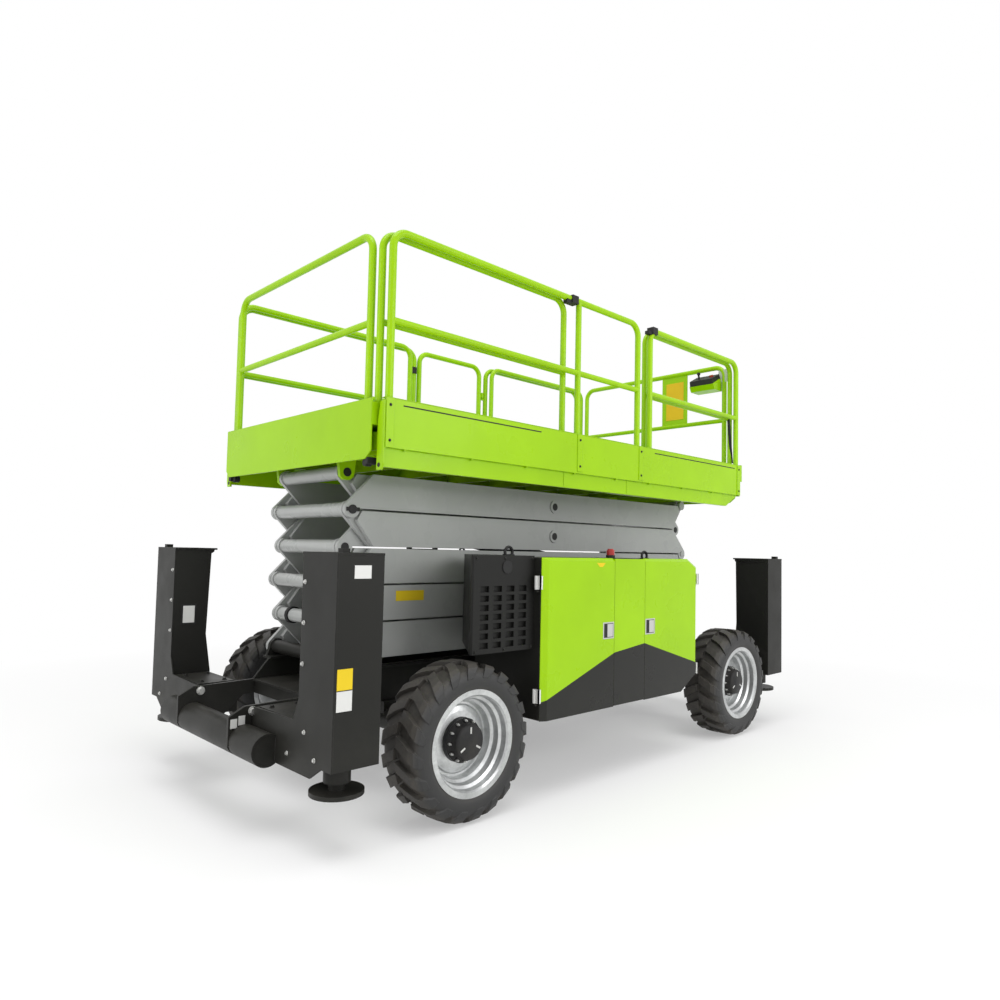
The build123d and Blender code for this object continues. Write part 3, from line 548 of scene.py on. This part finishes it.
# Bolts are one hexagon head on its washer, repeated at the points of a mesh.
bolt_rows, given, taken = group(
    "bolts at places",
    [
        ("Geometry", "NodeSocketGeometry"), ("Bolt", "NodeSocketObject"), ("Turn", "NodeSocketRotation"),
        ("Size", "NodeSocketFloat"), ("Material", "NodeSocketMaterial"),
    ],
    [("Geometry", "NodeSocketGeometry")],
    "GeometryNodeTree",
)
single = add(bolt_rows, "GeometryNodeObjectInfo", {"Object": given["Bolt"]}).outputs["Geometry"]
placing = {"Points": given["Geometry"], "Instance": single, "Rotation": given["Turn"], "Scale": given["Size"]}
copies = add(bolt_rows, "GeometryNodeInstanceOnPoints", placing).outputs[0]
solid = add(bolt_rows, "GeometryNodeRealizeInstances", {"Geometry": copies}).outputs[0]
colouring = {"Geometry": solid, "Material": given["Material"]}
coloured = add(bolt_rows, "GeometryNodeSetMaterial", colouring).outputs[0]
bolt_rows.links.new(coloured, taken[0])

made = bmesh.new()
rod(made, (0, 0, 0), (0, 0, 0.003), 0.0145, 20)
rod(made, (0, 0, 0.003), (0, 0, 0.011), 0.0105, 6)
bolt_head = shape("bolt_head", made)
bright_bolt = painted(
    "bright_bolt", (0.60, 0.60, 0.58), grey(0.7), rub=0.2, dust=0.1, gloss=0.32, peel=0.05, metal=0.9,
)
QUARTER = math.pi / 2
TOWARDS = {
    "-x": (0, -QUARTER, 0), "+x": (0, QUARTER, 0), "-y": (QUARTER, 0, 0), "+y": (-QUARTER, 0, 0),
    "+z": (0, 0, 0),
}


def bolted(name, places, towards, body, size, material=bright_bolt):
    """Bolt heads at these places, all facing one way."""
    mesh = bpy.data.meshes.new(name)
    mesh.from_pydata(places, [], [])
    base = bpy.data.objects.new(name, mesh)
    values = {"Bolt": bolt_head, "Turn": TOWARDS[towards], "Size": size, "Material": material}
    piece = bpy.data.objects.new(name, grown(base, bolt_rows, values))
    scene.collection.objects.link(piece)
    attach(piece, body)


# side, the way it faces, its name
LONG_SIDES = [(-1, "-y", "near"), (1, "+y", "far")]
COLUMN_BOLT_HEIGHTS = (0.885, 1.080, 1.275)
# distance along Y from the machine's middle, height
END_PLATE_BOLTS = [(0.74, 0.440), (0.90, 0.570), (1.00, 0.460)]
# distances along X and Y from the machine's middle
ARM_BOLTS = [(2.03, 0.46), (2.17, 0.46), (2.03, 0.72), (2.17, 0.72)]
CHEEK_BOLT_X, CHEEK_BOLT_Z = 2.225, 0.578
for end, facing, label in ((-1, "-x", "steer"), (1, "+x", "fixed")):
    rows = [(end * PLATE_X[1], side * 0.862, z) for side in (-1, 1) for z in COLUMN_BOLT_HEIGHTS]
    rows += [(end * PLATE_X[1], side * y, z) for side in (-1, 1) for y, z in END_PLATE_BOLTS]
    bolted(f"{label}_column_bolts", rows, facing, "chassis", 0.8)
    tops = [(end * x, side * y, 0.606) for side in (-1, 1) for x, y in ARM_BOLTS]
    bolted(f"{label}_arm_bolts", tops, "+z", "chassis", 1.0, charcoal_paint)
for side, facing, label in LONG_SIDES:
    cheeks = [(end * CHEEK_BOLT_X, side * 0.355, CHEEK_BOLT_Z) for end in (-1, 1)]
    bolted(f"{label}_cheek_bolts", cheeks, facing, "chassis", 1.7)
inner_cheeks = [(end * CHEEK_BOLT_X, 0.335, CHEEK_BOLT_Z) for end in (-1, 1)]
bolted("inner_cheek_bolts", inner_cheeks, "-y", "chassis", 1.7)

# ---------------------------------------------------------------- side trays and doors
# Folded sheet trays with cut corners hang on both sides, closed by hinged pressed doors.
# Doors and pillar are lime over charcoal, parted by a line that rises to the middle.
TRAY_X = 0.850
TRAY_BACK, TRAY_MOUTH, FAR_MOUTH = 0.560, 1.120, 1.092
TRAY_Z = (0.459, 1.405)
LOW_CUT_X, HIGH_CUT_X = 0.625, 0.730
TRAY_OUTLINE = [
    (-TRAY_X, TRAY_Z[0]), (LOW_CUT_X, TRAY_Z[0]), (TRAY_X, 0.590), (TRAY_X, 1.345), (HIGH_CUT_X, TRAY_Z[1]),
    (-TRAY_X, TRAY_Z[1]),
]
TRAY_MIDDLE = (0.84, 0.93)
SHEET = 0.008
PILLAR = (-0.170, 0.165)
DOOR_BACK, DOOR_FACE = 1.1235, 1.1465
HINGE_X, HINGE_Y = 0.863, 1.100
HINGE_HEIGHTS = (0.600, 1.260)
LATCH_FACE = 1.1480

for side, label in ((-1, "near"), (1, "far")):
    mouth = TRAY_MOUTH if side < 0 else FAR_MOUTH
    made = bmesh.new()
    prism(made, TRAY_OUTLINE, "y", side * TRAY_BACK, side * mouth)
    open_face = [face for face in made.faces if abs(face.calc_center_median().y - side * mouth) < 1e-4]
    bmesh.ops.delete(made, geom=open_face, context="FACES_ONLY")
    bmesh.ops.recalc_face_normals(made, faces=made.faces)
    middle = Vector((0, side * TRAY_MIDDLE[0], TRAY_MIDDLE[1]))
    outward = sum((face.calc_center_median() - middle).dot(face.normal) for face in made.faces)
    if outward < 0:
        bmesh.ops.reverse_faces(made, faces=made.faces)
    tray = shape(f"{label}_tray", made)
    tray.data.materials.append(charcoal_paint)
    scene.collection.objects.link(tray)
    sheet = tray.modifiers.new("sheet", "SOLIDIFY")
    sheet.thickness = SHEET
    sheet.offset = -1
    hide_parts("side_trays")
    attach(tray, "chassis")

made = bmesh.new()
box(made, PILLAR, (1.060, FAR_MOUTH), TRAY_Z)
for start, low_end, high_end in ((-TRAY_X, PILLAR[0], PILLAR[0]), (PILLAR[1], LOW_CUT_X, HIGH_CUT_X)):
    box(made, (start, low_end), (1.091, TRAY_MOUTH), (TRAY_Z[0], 0.467))
    box(made, (start, high_end), (1.091, TRAY_MOUTH), (1.397, TRAY_Z[1]))
for side in (-1, 1):
    for x, inner_x in ((PILLAR[0], PILLAR[0] + 0.006), (PILLAR[1], PILLAR[1] - 0.006)):
        box(made, (x, inner_x), (side * 1.060, side * TRAY_MOUTH), (0.467, 1.397))
    for end in (-1, 1):
        hinge = (end * HINGE_X, side * HINGE_Y)
        for z in HINGE_HEIGHTS:
            box(made, (end * 0.846, end * 0.872), (side * 1.088, side * 1.112), (z - 0.056, z - 0.043))
            rod(made, (*hinge, z - 0.05), (*hinge, z + 0.04), 0.006, 16)
finished("tray_frames", made, charcoal_paint, "chassis")

# colour line: place along X from and to, height from and to
COLOUR_LINE = [(-0.826, -0.166, 0.570, 0.800), (-0.166, 0.167, 0.800, 0.836), (0.167, 0.847, 0.836, 0.640)]
door_paint = painted(
    "door_paint", LIME, (0.24, 0.36, 0.03), rub=0.15, dust=0.06, gloss=0.30, peel=0.03, clear_coat=0.08,
)
tree = door_paint.node_tree
parts = add(tree, "ShaderNodeSeparateXYZ", {0: add(tree, "ShaderNodeTexCoord").outputs["Object"]}).outputs
rise, crest, fall = (ranged(tree, parts["X"], *ends, clamp=False) for ends in COLOUR_LINE)
line = maths(tree, "MINIMUM", maths(tree, "MINIMUM", rise, crest), fall)
upper = maths(tree, "GREATER_THAN", parts["Z"], line)
tree.links.new(blend(tree, upper, (*CHARCOAL, 1), (*LIME, 1)), tree.nodes["Group"].inputs["Paint"])

boxed("tray_pillar", [(PILLAR, (-1.112, -DOOR_FACE), TRAY_Z)], door_paint, "chassis")

# each door by its outline at the back, and at the face, where the hinged and top edges slope in
STEER_DOOR = (
    [(-0.173, 0.455), (-0.173, 1.409), (-0.848, 1.409), (-0.848, 0.455)],
    [(-0.173, 0.455), (-0.173, 1.389), (-0.806, 1.389), (-0.806, 0.455)],
)
FIXED_DOOR = (
    [(0.168, 0.455), (0.623, 0.455), (0.848, 0.586), (0.848, 1.349), (0.728, 1.409), (0.168, 1.409)],
    [(0.168, 0.455), (0.623, 0.455), (0.812, 0.565), (0.812, 1.340), (0.715, 1.389), (0.168, 1.389)],
)
# end, its name, door outlines, latch's place along X
DOORS = [(-1, "steer", STEER_DOOR, -0.233), (1, "fixed", FIXED_DOOR, 0.229)]
for side, reach in ((-1, "near"), (1, "far")):
    for end, kind, (back_outline, face_outline), latch_x in DOORS:
        door = f"{reach}_{kind}_door"
        made = bmesh.new()
        prism(made, back_outline, "y", side * DOOR_BACK, side * DOOR_FACE, face_outline)
        finished(f"{door}_panel", made, door_paint, door, [door])
        made = bmesh.new()
        hinge = (end * HINGE_X, side * HINGE_Y)
        for z in HINGE_HEIGHTS:
            leaf_z = (z - 0.04, z + 0.04)
            rod(made, (*hinge, leaf_z[0]), (*hinge, leaf_z[1]), 0.012, 20)
            box(made, (end * 0.859, end * 0.867), (side * 1.104, side * 1.136), leaf_z)
            box(made, (end * 0.847, end * 0.867), (side * 1.128, side * 1.136), leaf_z)
        finished(f"{door}_hinges", made, label_white, door)
        boxed(f"{door}_latch", [
            ((latch_x - 0.056, latch_x + 0.056), (side * DOOR_FACE, side * LATCH_FACE), (0.893, 0.999)),
            ((latch_x - 0.012, latch_x + 0.044), (side * LATCH_FACE, side * 1.1490), (0.905, 0.987)),
        ], bright_bolt, door)
        pocket = ((latch_x - 0.046, latch_x + 0.048), (side * LATCH_FACE, side * 1.1484), (0.901, 0.991))
        boxed(f"{door}_latch_pocket", [pocket], black_plastic, door)
made = bmesh.new()
prism(made, [(-0.36, 1.378), (-0.27, 1.378), (-0.30, 1.352), (-0.33, 1.352)], "y", -DOOR_FACE, -1.1472)
finished("door_label", made, label_yellow, "near_steer_door")

# ---------------------------------------------------------------- tray tops and vents
# Lifting eyes are bent bar welded on the tray tops, with a red beacon between them on a black foot.
# The vent boxes in front are black sheet, slanted at the back for the arms, with a grid of openings,
# a cable plug and screws along their covers.
EYE_RADIUS, EYE_BAR, EYE_SIDES, BAR_SIDES = 0.030, 0.009, 20, 8


def eye_ring(made, centre):
    """A ring of round bar in the XZ plane."""
    rings = []
    for step in range(EYE_SIDES):
        turn = 2 * math.pi * step / EYE_SIDES
        ring = []
        for around in range(BAR_SIDES):
            swing = 2 * math.pi * around / BAR_SIDES
            reach = EYE_RADIUS + EYE_BAR * math.cos(swing)
            offset = (reach * math.cos(turn), EYE_BAR * math.sin(swing), reach * math.sin(turn))
            ring.append(made.verts.new([middle + shift for middle, shift in zip(centre, offset)]))
        rings.append(ring)
    bridged(made, rings + rings[:1])


VENT_X = (-1.330, -0.850)
VENT_Z = (0.870, 1.417)
VENT_FACE = (1.048, 1.068)
VENT_BACK_X = -0.960
VENT_COLUMNS = [-1.245 + 0.1 * k for k in range(4)]
VENT_ROWS = [0.915 + 0.052 * k for k in range(7)]
HALF_OPENING_X, HALF_OPENING_Z = 0.032, 0.017
vent_black = painted(
    "vent_black", (0.012, 0.012, 0.011), grey(0.07), rub=0.3, dust=0.12, gloss=0.42, peel=0.12,
)
made = bmesh.new()
for side in (-1, 1):
    front, rear = side * VENT_FACE[0], side * TRAY_BACK
    plan = [(VENT_X[0], front), (VENT_X[1], front), (VENT_X[1], rear), (VENT_BACK_X, rear)]
    prism(made, plan, "z", *VENT_Z)
    face = (front, side * VENT_FACE[1])
    openings = [z + half for z in VENT_ROWS for half in (-HALF_OPENING_Z, HALF_OPENING_Z)]
    edges = [VENT_Z[0], *openings, VENT_Z[1]]
    for low, high in zip(edges[::2], edges[1::2]):
        box(made, VENT_X, face, (low, high))
    openings = [x + half for x in VENT_COLUMNS for half in (-HALF_OPENING_X, HALF_OPENING_X)]
    edges = [VENT_X[0], *openings, VENT_X[1]]
    for z in VENT_ROWS:
        for left, right in zip(edges[::2], edges[1::2]):
            box(made, (left, right), face, (z - HALF_OPENING_Z, z + HALF_OPENING_Z))
finished("vent_box_covers", made, vent_black, "chassis", ["vent_boxes"])

PLUG_X, PLUG_Z = -1.075, 1.350
BEACON_X, BEACON_Y = -0.11, -1.060
made = bmesh.new()
for side in (-1, 1):
    eye_ring(made, (-1.00, side * 1.000, 1.436))
    eye_ring(made, (0.360, side * 1.000, 1.426))
    box(made, (-1.035, -0.965), (side * 0.985, side * 1.015), (1.4165, 1.424))
    box(made, (0.325, 0.395), (side * 0.985, side * 1.015), (1.4045, 1.412))
    rod(made, (PLUG_X, side * 1.066, PLUG_Z), (PLUG_X, side * 1.073, PLUG_Z), 0.038, 24)
rod(made, (BEACON_X, BEACON_Y, 1.4045), (BEACON_X, BEACON_Y, 1.428), 0.030)
finished("lifting_eyes_and_foot", made, black_plastic, "chassis")
beacon_red = painted(
    "beacon_red", (0.42, 0.018, 0.012), (0.5, 0.1, 0.1),
    rub=0.1, dust=0.1, gloss=0.12, peel=0.02, clear_coat=0.8,
)
made = bmesh.new()
rod(made, (BEACON_X, BEACON_Y, 1.428), (BEACON_X, BEACON_Y, 1.462), 0.027)
rod(made, (BEACON_X, BEACON_Y, 1.462), (BEACON_X, BEACON_Y, 1.470), 0.020)
finished("beacon_lens", made, beacon_red, "chassis")
for side, facing, label in LONG_SIDES:
    screws = [(x, side * VENT_FACE[1], z) for x in (-1.31, -1.09, -0.87) for z in (0.885, 1.400)]
    bolted(f"{label}_vent_screws", screws, facing, "chassis", 0.6, charcoal_paint)

# ---------------------------------------------------------------- scissor pins
# Each joint turns on a hardened pin held by a bolted keeper, and each crossing has a collared bore.
# A hose clamp sits on the lowest cross tube, and a blank yellow plate on the second outer arm.
PITCH = 0.217
PIN_END = 1.720
OUTER_ARM_Y, PIN_Y, BORE_Y = 0.4500, 0.4600, 0.4585
dark_steel = painted("dark_steel", grey(0.020), grey(0.10), rub=0.4, dust=0.2, gloss=0.38, peel=0.1)


def level(k):
    """Height of a row of pins, the chassis pivot being row 0."""
    return 0.795 + PITCH * k


def keeper(made, x, side, z, radius):
    """A pin's end under its keeper plate, on the outer arm's face."""
    rod(made, (x, side * OUTER_ARM_Y, z), (x, side * PIN_Y, z), radius)
    box(made, (x - 0.040, x + 0.046), (side * OUTER_ARM_Y, side * 0.4560), (z - 0.011, z + 0.011))


for stage in range(1, 6):
    collars, bores, inner_pins = bmesh.new(), bmesh.new(), bmesh.new()
    outer_end = PIN_END if stage % 2 else -PIN_END
    middle, top = level(stage - 0.5), level(stage)
    for side in (-1, 1):
        rod(collars, (0, side * 0.449, middle), (0, side * BORE_Y, middle), 0.046)
        rod(bores, (0, side * BORE_Y, middle), (0, side * PIN_Y, middle), 0.027)
        rod(inner_pins, (-outer_end, side * 0.3830, top), (-outer_end, side * 0.3865, top), 0.026)
    finished(f"outer_{stage}_collars", collars, arm_paint, f"inner_arm_{stage}")
    finished(f"outer_{stage}_bores", bores, dark_steel, f"inner_arm_{stage}")
    if stage % 2 == 0:
        made = bmesh.new()
        for side in (-1, 1):
            keeper(made, outer_end, side, top, 0.026)
        finished(f"outer_{stage}_keepers", made, dark_steel, f"outer_arm_{stage}")
    finished(f"inner_{stage}_pins", inner_pins, dark_steel, f"inner_arm_{stage}")
made = bmesh.new()
for side in (-1, 1):
    keeper(made, -PIN_END, side, level(0), 0.030)
finished("foot_keepers", made, dark_steel, "chassis")
made = bmesh.new()
rod(made, (-PIN_END, 0.185, level(1)), (-PIN_END, 0.215, level(1)), 0.052)
finished("hose_clamp", made, black_plastic, "inner_arm_1")
boxed("arm_label", [((-1.40, -1.19), (-0.4500, -0.4510), (1.128, 1.190))], label_yellow, "outer_arm_2")

# ---------------------------------------------------------------- platform trim
# The deck's toe boards are folded plate, with post sockets bolted over them and a slot for the sliding
# extension, whose shade is painted as a thin black strip. Black clamps hold the fold-down rails, and a
# bracket closes each corner.
TOE_FACE, SOCKET_FACE, CORNER_FACE = 0.945, 0.949, 0.950
TOE_TOP = 2.222
SOCKET_X = (-0.305, 0.385)
CORNER_X = (-1.825, 1.825)
# end view of a corner bracket: distance along Y from the machine's middle, height
BRACKET = [(0.888, 1.846), (0.932, 1.846), (0.944, 1.880), (0.944, 2.205), (0.912, 2.205), (0.890, 2.100)]
BRACKET_X = (-1.861, -1.850)
SLOT_Z = (2.188, 2.195)
made = bmesh.new()
for side in (-1, 1):
    for x in SOCKET_X:
        socket = [(x - 0.026, 1.975), (x + 0.026, 1.975), (x + 0.026, TOE_TOP), (x - 0.026, TOE_TOP)]
        prism(made, socket, "y", side * TOE_FACE, side * SOCKET_FACE)
    for x in CORNER_X:
        box(made, (x - 0.025, x + 0.025), (side * TOE_FACE, side * CORNER_FACE), (1.963, TOE_TOP))
    prism(made, [(side * y, z) for y, z in BRACKET], "x", *BRACKET_X)
    box(made, (-1.850, 1.850), (side * 0.906, side * 0.946), (TOE_TOP, 2.226))
    for x in (-0.44, 0.24):
        box(made, (x - 0.003, x + 0.003), (side * 0.925, side * 0.9275), (1.870, 1.962))
finished("toe_board_strips", made, lime_paint, "platform")
made = bmesh.new()
for side in (-1, 1):
    # Each slot is a thin black strip on the toe board's face: painted shade of the slot's opening.
    for slot_x in ((-1.74, -0.68), (0.56, 1.76)):
        box(made, slot_x, (side * TOE_FACE, side * 0.9456), SLOT_Z)
    rod(made, (BRACKET_X[0], side * 0.910, 1.872), (-1.8625, side * 0.910, 1.872), 0.012, 18)
for x in (-0.37, 0.555):
    box(made, (x - 0.030, x + 0.030), (-0.946, -0.888), (3.092, 3.145))
    box(made, (x - 0.075, x - 0.028), (-0.935, -0.900), (3.085, 3.110))
for heights in ((2.930, 2.985), (2.300, 2.350)):
    box(made, (-0.345, -0.290), (0.890, 0.942), heights)
finished("rail_clamps", made, black_plastic, "platform")
for side, facing, label in LONG_SIDES:
    bolts = [(x, side * SOCKET_FACE, z) for x in SOCKET_X for z in (2.010, 2.185)]
    bolts += [(x, side * CORNER_FACE, z) for x in CORNER_X for z in (2.000, 2.185)]
    bolted(f"{label}_toe_bolts", bolts, facing, "platform", 0.55, dark_steel)

made = bmesh.new()
for side in (-1, 1):
    rod(made, (-1.875, side * 0.800, 1.893), (-1.840, side * 0.800, 1.893), 0.022, 20)
    box(made, (-1.890, -1.830), (side * 0.815, side * 0.850), (1.880, 1.915))
finished("corner_pads", made, black_plastic, "steer_end_extension")

# ---------------------------------------------------------------- operator's station
# At the fixed end the control box sits on a folded lime stand under the rail, beside a blank notice board,
# with a stay down to the toe board and a pale document holder at the corner.
STATION = "fixed_end_extension"
# side views of the stand and of the sloped box on it: place along X, height
STAND = [(1.857, 2.905), (1.857, 3.016), (1.815, 3.012), (1.702, 2.950), (1.728, 2.905)]
CONTROLS = [(1.838, 3.014), (1.815, 3.056), (1.696, 2.996), (1.703, 2.951), (1.815, 3.0125)]
made = bmesh.new()
prism(made, STAND, "y", -0.765, -0.530)
box(made, (1.849, 1.857), (-0.415, -0.145), (2.655, 3.108))
box(made, (1.8975, 1.925), (-0.925, -0.885), (2.090, 2.235))
finished("station_stand", made, lime_paint, STATION, ["control_box"])
made = bmesh.new()
prism(made, CONTROLS, "y", -0.760, -0.535)
rod(made, (1.745, -0.600, 3.020), (1.740, -0.600, 3.060), 0.009, 16)
rod(made, (1.740, -0.600, 3.058), (1.739, -0.600, 3.078), 0.015, 20)
rod(made, (1.790, -0.868, 2.630), (1.850, -0.868, 2.250), 0.012, 16)
finished("control_face", made, black_plastic, STATION)
made = bmesh.new()
rod(made, (1.766, -0.715, 3.020), (1.756, -0.715, 3.042), 0.017)
finished("stop_button", made, beacon_red, STATION)
notice_yellow = painted(
    "notice_yellow", (0.78, 0.50, 0.02), (0.6, 0.3, 0.05), rub=0.2, dust=0.1, gloss=0.4, peel=0.02,
)
boxed("notice_plate", [((1.8475, 1.849), (-0.378, -0.190), (2.700, 3.050))], notice_yellow, STATION)
pale_plastic = painted("pale_plastic", (0.50, 0.56, 0.46), grey(0.5), rub=0.1, dust=0.1, gloss=0.3, peel=0.05)
boxed("document_holder", [((1.840, 1.846), (-0.855, -0.740), (2.985, 3.098))], pale_plastic, STATION)

# ---------------------------------------------------------------- hubs
# Planetary drives in black castings stand out of the rims: a base held by a ring of studs, a round drum
# and three bright slots in its face.
STUD_CIRCLE = 0.108
# a drum's profile: place along Y from the wheel's middle, radius
HUB = [
    (-0.045, 0.0), (-0.045, 0.1185), (-0.056, 0.1185), (-0.060, 0.099), (-0.096, 0.097), (-0.106, 0.094),
    (-0.113, 0.084), (-0.113, 0.0),
]
casting_black = painted(
    "casting_black", (0.016, 0.016, 0.017), grey(0.08), rub=0.3, dust=0.3, gloss=0.40, peel=0.4,
)
made = bmesh.new()
rod(made, (0, -0.056, STUD_CIRCLE), (0, -0.072, STUD_CIRCLE), 0.0075, 6)
rod(made, (0, -0.072, STUD_CIRCLE), (0, -0.080, STUD_CIRCLE), 0.0045, 12)
hub_stud = shape("hub_stud", made)
made = bmesh.new()
box(made, (-0.005, 0.005), (-0.1140, -0.110), (0.046, 0.080))
hub_slot = shape("hub_slot", made)
for wheel, along, side in WHEELS:
    drum = turned_ring(f"{wheel}_drum", HUB, 48)
    mesh = grown(drum, round_axle, {"Count": 0, "Material": casting_black})
    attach(on_axle(f"{wheel}_hub", mesh, along, side), f"{wheel}_wheel")
    for kind, repeat, count in (("studs", hub_stud, 12), ("slots", hub_slot, 3)):
        empty = bpy.data.objects.new(kind, bpy.data.meshes.new(kind))
        values = {"Repeat": repeat, "Count": count, "Material": bright_bolt}
        mesh = grown(empty, round_axle, values)
        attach(on_axle(f"{wheel}_{kind}", mesh, along, side), f"{wheel}_wheel")

# ---------------------------------------------------------------- finishes
# Every solid that still shows takes the finish that its slot names: sprayed paint, chromed rods, moulded
# plastic, tyre rubber or zinc plate.
FINISHES = {
    "lime_paint": lime_paint,
    "charcoal_paint": charcoal_paint,
    "door_paint": door_paint,
    "arm_paint": arm_paint,
    "cylinder_paint": cylinder_paint,
    "bright_steel": chromed_rod,
    "black_plastic": black_plastic,
    "tank_plastic": black_plastic,
    "tyre_rubber": rubber,
    "rim_zinc": zinc,
}
for subpart in frame["record"]["subparts"]:
    node = frame["nodes"][subpart["node"]]
    node.data.materials.clear()
    node.data.materials.append(FINISHES[subpart["material_slot"]])
